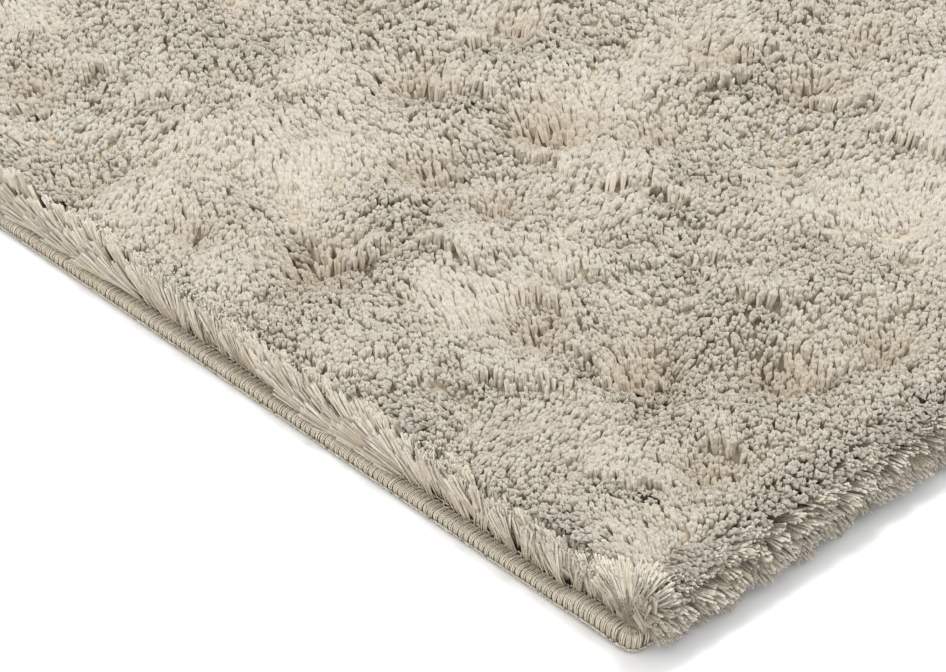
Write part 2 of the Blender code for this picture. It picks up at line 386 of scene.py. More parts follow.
def yarn(name, colour_and_painted_shade, warm, across, along, streak_height, streaks):
    """A yarn of fine fibres. colour_and_painted_shade is (share of the length, colour) from root
    to tip: the yarn's own colour, with painted shade and light along it. Each body's tint lies
    between none and warm, and streaks is how dark and how light the fibres run."""
    made, tree, shader = new_finish(name, YARN_SHEEN)
    strands = new_node(tree, "Group")
    strands.node_tree = fibres
    strands.inputs["Across"].default_value = across
    strands.inputs["Along"].default_value = along
    depth = new_node(tree, "ValToRGB")
    stops = depth.color_ramp.elements
    for k, (share, colour) in enumerate(colour_and_painted_shade):
        stop = stops[k] if k < 2 else stops.new(share)
        stop.position = share
        stop.color = (*colour, 1.0)
    both = new_node(tree, "Math", operation="ADD")
    streaked = new_node(tree, "MapRange")
    ends = ("From Min", "From Max", "To Min", "To Max")
    for end, value in zip(ends, (*FIBRE_RANGE, *streaks)):
        streaked.inputs[end].default_value = value
    cast = mix_of(tree, UNTINTED, warm)
    darker = new_node(tree, "VectorMath", operation="SCALE")
    combed = new_node(tree, "VectorMath", operation="MULTIPLY")
    relief = new_node(tree, "Bump", Strength=FIBRE_RELIEF, Distance=streak_height)
    wire(
        tree,
        (strands, "Share", depth, "Fac"),
        (strands, "Tint", cast, "Factor"),
        (strands, "Streaks", both, 0),
        (strands, "Flecks", both, 1),
        (both, 0, streaked, "Value"),
        (cast, "Result", darker, 0),
        (streaked, "Result", darker, "Scale"),
        (darker, "Vector", combed, 0),
        (depth, "Color", combed, 1),
        (combed, "Vector", shader, "Base Color"),
        (both, 0, relief, "Height"),
        (relief, "Normal", shader, "Normal"),
    )
    return made


# ---- bound long edges
# Strong yarn is wound over each long edge by an overlocking machine: about three turns to a
# stitch, each stitch locked by a chain of loops along its upper and its lower side.

BEAD_WIDTH = 0.0080
BEAD_OVER = 0.0037
BEAD_INNER = WIDTH / 2 - BEAD_WIDTH
STITCH = 0.0030
TURNS_PER_STITCH = 3
THREAD = 0.00060
BEAD_SQUARENESS = 0.66
WRAP_FROM = 172.0
WRAP_TO = -62.0
WRAP_POINTS = 8
WRAP_SLANT = 0.0022
CORNER_OUT = 0.0095
CORNER_SQUARENESS = 0.55
TAIL = 0.012
BINDING_SEED = {-1: 5, 1: 6}
STITCH_PLUMP = 0.00022
THREAD_SHAKE = 0.00007
STITCH_PINCH = 0.45
THREAD_SUNK = 0.8
THREAD_OVAL = 1.1
# The chains: where round the bead, and how far its loops tilt out of the surface.
CHAINS = ((-30.0, 0.45), (112.0, -1.0))
CHAIN_POINTS = 7
CHAIN_MOUTH = 0.3
CHAIN_SLACK = (0.85, 1.15)
CHAIN_LOOP = 0.0010
CHAIN_REACH = 0.60
CHAIN_PROUD = 0.0001
CHAIN_THREAD = 0.00046
CORE_SUNK = 1.9
CORE_SIDES = 16
CORE_STATIONS = (14, 8)

# The wound yarn's colour with painted light and shade: each thread is lighter over the top of the bead
# and darker where it turns in by the pile and under the bead, and each chain loop is lighter in its
# middle than at its ends.
overlock_yarn = yarn(
    "overlock_yarn",
    ((0.0, (0.52, 0.465, 0.37)), (0.5, (0.68, 0.625, 0.52)), (1.0, (0.55, 0.50, 0.405))),
    (0.92, 0.88, 0.80),
    across=5.0,
    along=9.0,
    streak_height=0.0002,
    streaks=(0.72, 1.18),
)

STRAIGHT = LENGTH / 2 - BEAD_WIDTH
TURN = BEAD_WIDTH * math.pi / 2
RUN = STRAIGHT + TURN + TAIL


def bead_round(angle, y, shrink):
    """A point of the bead's section at an angle from its outer side, as (out, z), with out
    counted from the bead's inner edge. shrink draws it in below the surface."""
    height = cloth_top(y) + BEAD_OVER
    half_out = BEAD_WIDTH / 2 - shrink
    half_up = height / 2 - shrink
    out = np.sign(np.cos(angle)) * np.abs(np.cos(angle)) ** BEAD_SQUARENESS
    up = np.sign(np.sin(angle)) * np.abs(np.sin(angle)) ** BEAD_SQUARENESS
    return BEAD_WIDTH / 2 + out * half_out, height / 2 + up * half_up


def along_edge(out, run, side):
    """Carries points of the bead from a straight run into place: up the long edge, round the
    blunt corner, and a little way along the short end under the pile."""
    beyond = np.clip(np.abs(run) - STRAIGHT, 0.0, TURN)
    tail = np.clip(np.abs(run) - STRAIGHT - TURN, 0.0, TAIL)
    swing = beyond / TURN * math.pi / 2
    reach = 1 + (CORNER_OUT / BEAD_WIDTH - 1) * np.sin(swing)
    x = BEAD_INNER + out * np.cos(swing) ** CORNER_SQUARENESS - tail
    y = np.minimum(np.abs(run), STRAIGHT) + out * reach * np.sin(swing) ** CORNER_SQUARENESS
    return side * x, np.sign(run) * y


def add_binding(side, name, node):
    """The wound threads, the two chains and the core of one long edge."""
    draw = np.random.default_rng(BINDING_SEED[side])
    pitch = STITCH / TURNS_PER_STITCH
    turns = round(2 * RUN / STITCH) * TURNS_PER_STITCH
    run = (np.arange(turns) + 0.5 - turns / 2) * pitch
    in_stitch = np.arange(turns) % TURNS_PER_STITCH - (TURNS_PER_STITCH - 1) / 2
    angles = np.radians(np.linspace(WRAP_FROM, WRAP_TO, WRAP_POINTS))
    spread = np.linspace(0.0, 1.0, WRAP_POINTS)
    swell = (STITCH_PLUMP * (1 - np.abs(in_stitch)) + draw.normal(0, THREAD_SHAKE, turns))[:, None]
    pinch = -in_stitch[:, None] * pitch * STITCH_PINCH * np.abs(2 * spread - 1)[None, :]
    lean = WRAP_SLANT * (spread - 0.5)[None, :]
    path = run[:, None] + lean + pinch + draw.normal(0, THREAD_SHAKE, (turns, 1))
    path = np.clip(path, -RUN, RUN)
    out, z = bead_round(angles[None, :], path, THREAD * THREAD_SUNK)
    out = out + swell * np.cos(angles)[None, :]
    z = z + swell * np.sin(angles)[None, :]
    x, y = along_edge(out, path, side)
    wound = grow(
        name,
        np.stack([x, y, np.maximum(z, THREAD)], axis=2),
        np.full((turns, WRAP_POINTS - 2), THREAD),
        sides=3,
        turn=np.full(turns, math.pi / 2),
        flat=np.full(turns, THREAD_OVAL),
        along=spread,
        tint=draw.uniform(0, 1, turns),
    )

    # The chains: one slack loop a stitch, drawn out along the edge.
    stitches = turns // TURNS_PER_STITCH
    centre = (np.arange(stitches) + 0.5 - stitches / 2) * STITCH
    ring_angle = np.linspace(CHAIN_MOUTH, 2 * math.pi - CHAIN_MOUTH, CHAIN_POINTS)
    loops = []
    for angle, tilt in CHAINS:
        slack = draw.uniform(*CHAIN_SLACK, (stitches, 1))
        path = centre[:, None] + CHAIN_REACH * STITCH * np.cos(ring_angle)[None, :]
        across = CHAIN_LOOP * slack * np.sin(ring_angle)[None, :]
        out, z = bead_round(np.full(path.shape, math.radians(angle)), path, -CHAIN_PROUD)
        x, y = along_edge(out + across * math.sin(tilt), path, side)
        loops.append(np.stack([x, y, np.maximum(z + across * math.cos(tilt), CHAIN_THREAD)], axis=2))
    chain_line = np.concatenate(loops)
    chain = grow(
        name + "_chain",
        chain_line,
        np.full((len(chain_line), CHAIN_POINTS - 2), CHAIN_THREAD),
        sides=3,
        turn=draw.uniform(0, 6, len(chain_line)),
        flat=np.ones(len(chain_line)),
        along=np.linspace(0, 1, CHAIN_POINTS),
        tint=draw.uniform(0, 1, len(chain_line)),
    )

    # The core that shows dark between the threads.
    round_turn, on_rise = CORE_STATIONS
    stations = np.concatenate(
        [np.linspace(-RUN, -STRAIGHT, round_turn), np.linspace(-FLAP_END, -RISE_START, on_rise)]
        + [np.linspace(RISE_START, FLAP_END, on_rise), np.linspace(STRAIGHT, RUN, round_turn)]
    )
    core = bmesh.new()
    rings = []
    round_angle = np.linspace(0, 2 * math.pi, CORE_SIDES, endpoint=False)
    for station in stations:
        here = np.full(CORE_SIDES, station)
        out, z = bead_round(round_angle, here, CORE_SUNK * THREAD)
        x, y = along_edge(out, here, side)
        rings.append([core.verts.new(point) for point in zip(x, y, z)])
    for near, far in zip(rings, rings[1:]):
        for k in range(CORE_SIDES):
            after = (k + 1) % CORE_SIDES
            core.faces.new((near[k], near[after], far[after], far[k]))
    core.faces.new(rings[0])
    core.faces.new(rings[-1])
    bmesh.ops.recalc_face_normals(core, faces=core.faces)
    inside = set_down(name + "_core", core)
    inside.data.materials.append(canvas)
    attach(inside, "root")
    for piece in (wound, chain):
        piece.data.materials.append(overlock_yarn)
        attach(piece, "root")
        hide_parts(node)


add_binding(-1, "overlock_wound_left", "overlock_left")
add_binding(1, "overlock_wound_right", "overlock_right")

# ---- pile: how it lies
# The locks are tufted upright and then fall over in patches. Where two patches lean apart the
# pile opens in a hollow, and where one leans onto the next its front stands up in a ridge.

PILE_TOP = 0.0350
PARTINGS = (
    # x, y, reach, depth
    (-0.240, -0.200, 0.026, 0.010),
    (-0.158, -0.182, 0.020, 0.010),
    (-0.155, -0.222, 0.018, 0.008),
    (-0.095, -0.196, 0.026, 0.011),
    (-0.112, -0.128, 0.020, 0.008),
    (-0.062, -0.232, 0.019, 0.008),
    (0.004, -0.206, 0.020, 0.008),
    (0.020, -0.256, 0.022, 0.009),
    (-0.190, -0.350, 0.026, 0.009),
    (-0.150, -0.392, 0.024, 0.011),
    (-0.108, -0.408, 0.022, 0.009),
    (-0.264, -0.148, 0.020, 0.007),
    (-0.276, -0.085, 0.018, 0.006),
    (-0.245, -0.010, 0.022, 0.008),
    (-0.048, -0.122, 0.020, 0.007),
    (-0.205, -0.300, 0.020, 0.007),
    (-0.222, -0.416, 0.020, 0.007),
)
# Past the charted corner the pile opens in the same way, at seeded places.
CHARTED_TO = (0.055, 0.020)
PARTING_PITCH = 0.075
PARTING_SHAKE = 0.026
PARTING_REACH = (0.018, 0.026)
PARTING_DEPTH = (0.0035, 0.0085)
PARTING_SHARE = 0.50
PARTING_SEED = 19
CLEAR_OF_RIM = 0.035
# Towards a parting the locks give up part of their lie and turn outwards instead.
PARTING_CORE = 0.8
PARTING_STILLS = 0.5
PARTING_SPLAY = 0.45
SWELL_PITCH = 0.060
SWELL_SHAKE = 0.020
SWELL_REACH = (0.020, 0.032)
SWELL_HEIGHT = (-0.0060, 0.0040)
SWELL_SEED = 11
CHARTED_REACH = 0.040

# The fronts that stand up where one patch of pile ends above the next, facing the way the nap
# runs: the two ends of each in plan, and how far it stands up.
FRONTS = (
    (-0.116, -0.124, -0.112, -0.142, 0.0050),
    (-0.112, -0.142, -0.100, -0.162, 0.0035),
    (-0.124, -0.202, -0.116, -0.232, 0.0045),
    (-0.110, -0.251, -0.098, -0.269, 0.0055),
    (-0.207, -0.231, -0.192, -0.252, 0.0040),
    (-0.235, -0.183, -0.224, -0.212, 0.0055),
    (-0.224, -0.212, -0.212, -0.213, 0.0040),
    (0.010, -0.265, 0.017, -0.284, 0.0050),
    (0.007, -0.310, 0.010, -0.340, 0.0045),
    (-0.106, -0.280, -0.097, -0.292, 0.0040),
    (-0.167, -0.100, -0.155, -0.106, 0.0030),
    (-0.198, -0.287, -0.192, -0.294, 0.0040),
    (-0.133, -0.358, -0.124, -0.369, 0.0055),
    (-0.247, -0.317, -0.237, -0.329, 0.0040),
    (-0.202, -0.347, -0.193, -0.356, 0.0035),
    (-0.019, -0.226, -0.005, -0.235, 0.0050),
    (-0.013, -0.205, -0.004, -0.215, 0.0045),
    (0.008, -0.214, 0.020, -0.221, 0.0045),
    (-0.065, -0.375, -0.058, -0.382, 0.0035),
    (-0.126, -0.315, -0.118, -0.323, 0.0040),
    (-0.216, -0.405, -0.206, -0.418, 0.0035),
    (-0.262, -0.398, -0.249, -0.414, 0.0030),
    (-0.217, -0.061, -0.199, -0.067, 0.0030),
    (-0.211, -0.329, -0.204, -0.338, 0.0045),
    (-0.148, -0.398, -0.135, -0.405, 0.0040),
    (-0.122, -0.407, -0.112, -0.413, 0.0035),
    (-0.171, -0.279, -0.164, -0.291, 0.0030),
    (-0.259, -0.019, -0.243, -0.027, 0.0045),
    (-0.226, -0.024, -0.210, -0.033, 0.0040),
    (-0.078, -0.122, -0.064, -0.131, 0.0040),
)
# How far a front runs on past its ends and back from its face, and the dip at its foot.
FRONT_ENDS = 0.005
FRONT_BACK = 0.015
FRONT_FACE = 0.0012
FRONT_UPRIGHT = 0.6
FOOT_FROM = 0.0008
FOOT_AT = 0.004
FOOT_REACH = 0.007
FOOT_DIP = 0.35
FOOT_LEAN = 0.40

# The lie, patch by patch: seeded, and leaning mostly one way, as a rug does once it is unrolled.
PATCH_PITCH = 0.040
PATCH_SHAKE = 0.016
PATCH_SEED = 23
NAP_HEADING = 232.0
NAP = (math.cos(math.radians(NAP_HEADING)), math.sin(math.radians(NAP_HEADING)))
HEADING_SPREAD = 62.0
LEAN = (0.24, 0.56)
PATCH_BLEND = 0.00028
SHINGLE = 0.0030
SHINGLE_REACH = 0.020
NOISE_CELLS = 64
# How far a patch's border wanders and frays and its lean wavers, with the distance of each.
BORDER_WANDER = (0.007, 0.018)
BORDER_FRAY = (0.002, 0.006)
WAVER = (0.14, 0.008)
WAVER_NOISE = (7, 8)
STEEPEST = 0.78


def shaken_places(draw, pitch, shake, beyond=0):
    """Places on a grid over the rug and so many cells beyond it, each a little shaken."""
    for i in range(-beyond, round(WIDTH / pitch) + beyond):
        for j in range(-beyond, round(LENGTH / pitch) + beyond):
            x = (i + 0.5) * pitch - WIDTH / 2 + draw.uniform(-shake, shake)
            y = (j + 0.5) * pitch - LENGTH / 2 + draw.uniform(-shake, shake)
            yield x, y


def more_partings():
    """Seeded partings over the part of the rug that isn't charted."""
    draw = random.Random(PARTING_SEED)
    made = []
    for x, y in shaken_places(draw, PARTING_PITCH, PARTING_SHAKE):
        reach, depth = draw.uniform(*PARTING_REACH), draw.uniform(*PARTING_DEPTH)
        opens = draw.random() < PARTING_SHARE
        uncharted = x > CHARTED_TO[0] or y > CHARTED_TO[1]
        clear = abs(x) < WIDTH / 2 - CLEAR_OF_RIM and abs(y) < LENGTH / 2 - CLEAR_OF_RIM
        if opens and uncharted and clear:
            made.append((x, y, reach, depth))
    return tuple(made)


PARTINGS += more_partings()


def swells():
    """The partings, then seeded swells and dips wherever there is none."""
    draw = random.Random(SWELL_SEED)
    made = [(x, y, reach, -depth) for x, y, reach, depth in PARTINGS]
    for x, y in shaken_places(draw, SWELL_PITCH, SWELL_SHAKE):
        reach, height = draw.uniform(*SWELL_REACH), draw.uniform(*SWELL_HEIGHT)
        if all(math.hypot(x - px, y - py) > CHARTED_REACH for px, py, _, _ in PARTINGS):
            made.append((x, y, reach, height))
    return made


LUMPS = swells()


def pile_height(x, y):
    """Height of the pile's top, before any front, fall or clump."""
    lift = np.zeros_like(x)
    for px, py, reach, height in LUMPS:
        lift += height * np.exp(-((x - px) ** 2 + (y - py) ** 2) / reach**2)
    return PILE_TOP + lift


def uneven(x, y, pitch, seed):
    """Smooth random ups and downs from -1 to 1, each about one pitch across."""
    cells = np.random.default_rng(seed).uniform(-1.0, 1.0, (NOISE_CELLS, NOISE_CELLS))
    i, j = np.floor(x / pitch).astype(int), np.floor(y / pitch).astype(int)
    u, v = x / pitch - i, y / pitch - j
    u, v = u * u * (3 - 2 * u), v * v * (3 - 2 * v)
    i, j = i % NOISE_CELLS, j % NOISE_CELLS
    after_i, after_j = (i + 1) % NOISE_CELLS, (j + 1) % NOISE_CELLS
    near = cells[i, j] * (1 - u) + cells[after_i, j] * u
    far = cells[i, after_j] * (1 - u) + cells[after_i, after_j] * u
    return near * (1 - v) + far * v


def patches():
    """Each patch's place and the way it leans, as a heading vector whose length is the lean."""
    draw = random.Random(PATCH_SEED)
    rows = []
    for x, y in shaken_places(draw, PATCH_PITCH, PATCH_SHAKE, beyond=1):
        heading = math.radians(draw.gauss(NAP_HEADING, HEADING_SPREAD))
        lean = draw.uniform(*LEAN)
        rows.append((x, y, lean * math.cos(heading), lean * math.sin(heading)))
    return np.array(rows)


PATCHES = patches()


def lie(x, y):
    """How the pile lies at each point: the lean along x and along y, and how far the patch's
    own front stands up."""
    wander_x, wander_y = (
        spot
        + BORDER_WANDER[0] * uneven(x, y, BORDER_WANDER[1], seed)
        + BORDER_FRAY[0] * uneven(x, y, BORDER_FRAY[1], seed + 1)
        for spot, seed in ((x, 1), (y, 3))
    )
    away_x = wander_x[:, None] - PATCHES[None, :, 0]
    away_y = wander_y[:, None] - PATCHES[None, :, 1]
    apart = away_x**2 + away_y**2
    weight = np.exp(-(apart - apart.min(axis=1, keepdims=True)) / PATCH_BLEND)
    weight /= weight.sum(axis=1, keepdims=True)
    front = (away_x * PATCHES[:, 2] + away_y * PATCHES[:, 3]) / SHINGLE_REACH
    lift = (weight * np.clip(front, -0.5, 0.5)).sum(axis=1) * 2 * SHINGLE
    lean_x = weight @ PATCHES[:, 2]
    lean_y = weight @ PATCHES[:, 3]
    for px, py, reach, _ in PARTINGS:
        near = np.exp(-((x - px) ** 2 + (y - py) ** 2) / (PARTING_CORE * reach) ** 2)
        lean_x = lean_x * (1 - PARTING_STILLS * near) + PARTING_SPLAY * near * (x - px) / reach
        lean_y = lean_y * (1 - PARTING_STILLS * near) + PARTING_SPLAY * near * (y - py) / reach
    for x1, y1, x2, y2, height in FRONTS:
        half = math.hypot(x2 - x1, y2 - y1) / 2
        run_x, run_y = (x2 - x1) / 2 / half, (y2 - y1) / 2 / half
        facing = math.copysign(1.0, -run_y * NAP[0] + run_x * NAP[1])
        face_x, face_y = -run_y * facing, run_x * facing
        off_x, off_y = wander_x - (x1 + x2) / 2, wander_y - (y1 + y2) / 2
        beside = np.clip(np.abs(off_x * run_x + off_y * run_y) - half, 0.0, None)
        ahead = off_x * face_x + off_y * face_y
        here = np.exp(-((beside / FRONT_ENDS) ** 2))
        behind = here * np.exp(-((ahead / np.where(ahead < 0, FRONT_BACK, FRONT_FACE)) ** 2))
        before = here * np.exp(-(((ahead - FOOT_AT) / FOOT_REACH) ** 2)) * (ahead > FOOT_FROM)
        lift += height * (behind - FOOT_DIP * before)
        lean_x = lean_x * (1 - FRONT_UPRIGHT * behind) + FOOT_LEAN * before * face_x
        lean_y = lean_y * (1 - FRONT_UPRIGHT * behind) + FOOT_LEAN * before * face_y
    lean_x += WAVER[0] * uneven(x, y, WAVER[1], WAVER_NOISE[0])
    lean_y += WAVER[0] * uneven(x, y, WAVER[1], WAVER_NOISE[1])
    steep = np.hypot(lean_x, lean_y)
    scale = np.minimum(1.0, STEEPEST / np.maximum(steep, 1e-6))
    return lean_x * scale, lean_y * scale, lift


# ---- pile: the field
# The locks that are seen end on. Each is a clump of soft blunt tips packed side by side, and
# the darker depth of the pile shows where clumps stand apart.

FIELD_SEED = 41
TIP_PITCH = 0.00285
TIP_SHAKE = 0.36
TIP_RISE = 0.00035
TIP_SIZES = (0.88, 1.16)
TIP_WIDTH = 0.68
TIP_FLAT = (0.75, 1.0)
TIP_LEAN = 0.06
SHOULDER = (0.7, 1.5)
ROW_SPACING = 0.866
PITCH_DRIFT = 0.16
CLUMP_PITCH = 0.0068
CLUMP_SHAKE = 0.38
CLUMP_RISE = 0.0005
CLUMP_CROWN = 0.0006
CLUMP_EDGE = 1.4
CLUMP_GATHER = 0.10
CLUMP_SPLAY = 0.10
TUFTS = (0.0007, 0.0085)
TUFT_NOISE = 9
TINT_NOISE = 12
LOCK_DEPTH = 0.0240
ROOT_INSET = 0.006
ROOT_CLEAR = 0.0006
FLATTEST = 0.15
# Where the lie opens the tops drop, the tips thin out and some are missing; more so in a hollow.
STEP = 0.002
OPENING = (-1.2, 2.0)
OPENED_DROP = 0.0022
OPENED_THIN = 0.10
OPENED_BARE = 0.12
DEEPEST = 0.010
HOLLOW_DROP = 0.0015
HOLLOW_BARE = 0.34
HOLLOW_FROM = 0.45
# Each lock's tint: the usual one, by clump, by patch (and its pitch) and by lock, all random tone, and
# in a hollow, where it is painted shade.
TINT_USUAL = 0.10
TINT_CLUMP = 0.05
TINT_PATCH = (0.05, 0.03)
TINT_LOCK = 0.06
PAINTED_HOLLOW_SHADE = 0.5
RIM_X = 0.2935
RIM_Y = 0.4560
RIM_FALL = (0.0045, 0.0095)
RIM_ROUND = (0.016, 0.021)
RIM_LEAN = (0.40, 0.70)
DRAPE = 0.006
FIELD_STRIPS = 4
FIELD_ALONG = (0.0, 0.94, 1.0)
FIELD_SOFTNESS = 0.54
TIP_SIDES = 3
# The pile's colour along each lock, root to tip, with painted light and shade: the root is darker tan
# for the shade deep in the pile, the sides are warm tan and lighter than the tips to lift the shaded
# gaps, and the tips are a little darker and greyer to hold down their highlights.
PILE_COLOUR_AND_PAINTED_SHADE = (
    (0.0, (0.50, 0.415, 0.31)),
    (0.70, (0.54, 0.47, 0.372)),
    (0.95, (0.508, 0.464, 0.389)),
    (1.0, (0.476, 0.459, 0.410)),
)

# The pile's warm cast: a random tone on each lock, and the painted shade of the hollows.
pile_yarn = yarn(
    "pile_yarn",
    PILE_COLOUR_AND_PAINTED_SHADE,
    (0.70, 0.60, 0.48),
    across=9.0,
    along=2.0,
    streak_height=0.0003,
    streaks=(0.82, 1.14),
)


def close_packed(draw, pitch, shake):
    """Close-packed places over the field, each a little shaken and all of them closer together
    towards one corner, with how close they are there."""
    rows = int(2 * RIM_Y / (pitch * ROW_SPACING))
    columns = int(2 * RIM_X / pitch)
    j, i = np.meshgrid(np.arange(rows), np.arange(columns), indexing="ij")
    u = ((i + 0.25 + 0.5 * (j % 2)) / columns * 2 - 1).ravel()
    v = ((j + 0.5) / rows * 2 - 1).ravel()
    local = np.sqrt((1 + 2 * PITCH_DRIFT * u) * (1 + 2 * PITCH_DRIFT * v))
    x, y = (
        (t - PITCH_DRIFT * (1 - t**2)) * rim + draw.uniform(-shake, shake, t.size) * pitch * local
        for t, rim in ((u, RIM_X), (v, RIM_Y))
    )
    return x, y, local


def rim_fall(x, y):
    """How far the top has fallen towards the rim, and how far the locks turn outwards there."""
    near_x = np.clip(1 - (RIM_X - np.abs(x)) / RIM_ROUND[0], 0.0, 1.0)
    near_y = np.clip(1 - (RIM_Y - np.abs(y)) / RIM_ROUND[1], 0.0, 1.0)
    fall = np.maximum(RIM_FALL[0] * near_x**2, RIM_FALL[1] * near_y**2)
    return fall, near_x * np.sign(x), near_y * np.sign(y)


def hollowness(x, y, core):
    """How deep in a hollow each point lies. core is the share of a parting's reach that sinks."""
    deep = np.zeros(len(x))
    for px, py, reach, depth in PARTINGS:
        near = np.hypot(x - px, y - py) / (core * reach)
        deep = np.maximum(deep, np.exp(-(near**2)) * depth / DEEPEST)
    return deep


draw = np.random.default_rng(FIELD_SEED)
clump_x, clump_y, _ = close_packed(draw, CLUMP_PITCH, CLUMP_SHAKE)
clump_rise = draw.normal(0, CLUMP_RISE, clump_x.size)
clump_tint = draw.normal(0, TINT_CLUMP, clump_x.size)
tip_x, tip_y, local = close_packed(draw, TIP_PITCH, TIP_SHAKE)
centres = KDTree(clump_x.size)
for k, (x, y) in enumerate(zip(clump_x, clump_y)):
    centres.insert((x, y, 0.0), k)
centres.balance()
own_clump = np.array([centres.find((x, y, 0.0))[1] for x, y in zip(tip_x, tip_y)])
off_x, off_y = tip_x - clump_x[own_clump], tip_y - clump_y[own_clump]
splay_x, splay_y = (CLUMP_SPLAY * off / (0.5 * CLUMP_PITCH * local) for off in (off_x, off_y))
crown = 1 - np.minimum(np.hypot(off_x, off_y) / (0.5 * CLUMP_PITCH * local), CLUMP_EDGE) ** 2
rise = clump_rise[own_clump] + CLUMP_CROWN * crown + draw.normal(0, TIP_RISE, tip_x.size)
rise *= np.minimum(local, 1.0)
tint = clump_tint[own_clump]
tip_x = tip_x - CLUMP_GATHER * off_x
tip_y = tip_y - CLUMP_GATHER * off_y
size = local * draw.uniform(*TIP_SIZES, tip_x.size)
inside = (np.abs(tip_x) < RIM_X) & (np.abs(tip_y) < RIM_Y)
cornered_x = np.clip((np.abs(tip_x) - RIM_X) / RIM_ROUND[1] + 1, 0.0, None)
cornered_y = np.clip((np.abs(tip_y) - RIM_Y) / RIM_ROUND[1] + 1, 0.0, None)
inside &= np.hypot(cornered_x, cornered_y) < 1.0
tip_x, tip_y, rise, size, splay_x, splay_y, tint = (
    a[inside] for a in (tip_x, tip_y, rise, size, splay_x, splay_y, tint)
)
lean_x, lean_y, lift = lie(tip_x, tip_y)
ahead_x, _, _ = lie(tip_x + STEP, tip_y)
behind_x, _, _ = lie(tip_x - STEP, tip_y)
_, ahead_y, _ = lie(tip_x, tip_y + STEP)
_, behind_y, _ = lie(tip_x, tip_y - STEP)
parting = (ahead_x - behind_x + ahead_y - behind_y) / (2 * STEP)
opening = np.clip(parting * LOCK_DEPTH, *OPENING)
fall, out_x, out_y = rim_fall(tip_x, tip_y)
lean_x = lean_x + RIM_LEAN[0] * out_x + splay_x
lean_y = lean_y + RIM_LEAN[1] * out_y + splay_y
top = pile_height(tip_x, tip_y) + lift - fall + rise
top += TUFTS[0] * uneven(tip_x, tip_y, TUFTS[1], TUFT_NOISE)
top -= OPENED_DROP * np.clip(opening, -0.6, 1.3)
sunk = hollowness(tip_x, tip_y, PARTING_CORE)
top -= HOLLOW_DROP * sunk**2
bare = OPENED_BARE * np.clip(opening - 0.2, 0.0, 1.0)
bare += HOLLOW_BARE * np.clip((sunk - HOLLOW_FROM) / HOLLOW_FROM, 0.0, 1.0)
kept = draw.uniform(0, 1, tip_x.size) > bare
tip_x, tip_y, top, lean_x, lean_y, opening, size, tint, sunk = (
    a[kept] for a in (tip_x, tip_y, top, lean_x, lean_y, opening, size, tint, sunk)
)
count = tip_x.size
lean_x = lean_x + draw.normal(0, TIP_LEAN, count)
lean_y = lean_y + draw.normal(0, TIP_LEAN, count)
tips = np.stack([tip_x, tip_y, top], axis=1)
upright = np.sqrt(np.clip(1 - lean_x**2 - lean_y**2, FLATTEST, 1.0))
lay = unit(np.stack([lean_x, lean_y, upright], axis=1))
thinned = 1 - OPENED_THIN * np.clip(opening, -0.8, 1.0)
radius = (TIP_WIDTH * TIP_PITCH * size * thinned)[:, None]
shoulder = radius * draw.uniform(*SHOULDER, (count, 1))
roots = tips - lay * LOCK_DEPTH
roots[:, 0] = np.clip(roots[:, 0], -RIM_X + ROOT_INSET, RIM_X - ROOT_INSET)
roots[:, 1] = np.clip(roots[:, 1], -RIM_Y + ROOT_INSET + DRAPE, RIM_Y - ROOT_INSET - DRAPE)
roots[:, 2] = np.maximum(roots[:, 2], cloth_top(roots[:, 1]) + ROOT_CLEAR)
line = np.stack([roots, tips - lay * shoulder, tips], axis=1)
turn = draw.uniform(0, 2 * math.pi, count)
flat = draw.uniform(*TIP_FLAT, count)
# A lock's tint is its random tone, and in a hollow painted shade as well.
tint = tint + TINT_USUAL + TINT_PATCH[0] * uneven(tip_x, tip_y, TINT_PATCH[1], TINT_NOISE)
tint = np.clip(tint + draw.normal(0, TINT_LOCK, count) + PAINTED_HOLLOW_SHADE * sunk, 0.0, 1.0)
order = np.digitize(tip_y, np.linspace(-RIM_Y, RIM_Y, FIELD_STRIPS + 1)[1:-1])
pile_pieces = []
for strip in range(FIELD_STRIPS):
    own = order == strip
    field = grow(
        f"pile_field_{strip + 1}",
        line[own],
        radius[own],
        sides=TIP_SIDES,
        turn=turn[own],
        flat=flat[own],
        along=FIELD_ALONG,
        tint=tint[own],
        facing=lay[own],
        softness=FIELD_SOFTNESS,
    )
    pile_pieces.append(field)

# Below the tips: the imported roots, one lumpy body that the locks stand in. Its colour is
# darkened in the hollows, as painted shade.
BED_BELOW = 0.0048
BED_CELL = 0.005
BED_INSET = 0.0045
BED_CORE = 0.75
BED_HOLLOW = 0.005
BED_EDGE_DROP = 0.005
BED_CLEAR = 0.0004
BED_COLOURS = ((0.44, 0.36, 0.26), (0.52, 0.445, 0.34))
# Painted shade: the colour that the roots darken towards in the hollows.
BED_PAINTED_SHADE = (0.13, 0.10, 0.07)
BED_GRAIN = 520.0
BED_RELIEF = 0.0015

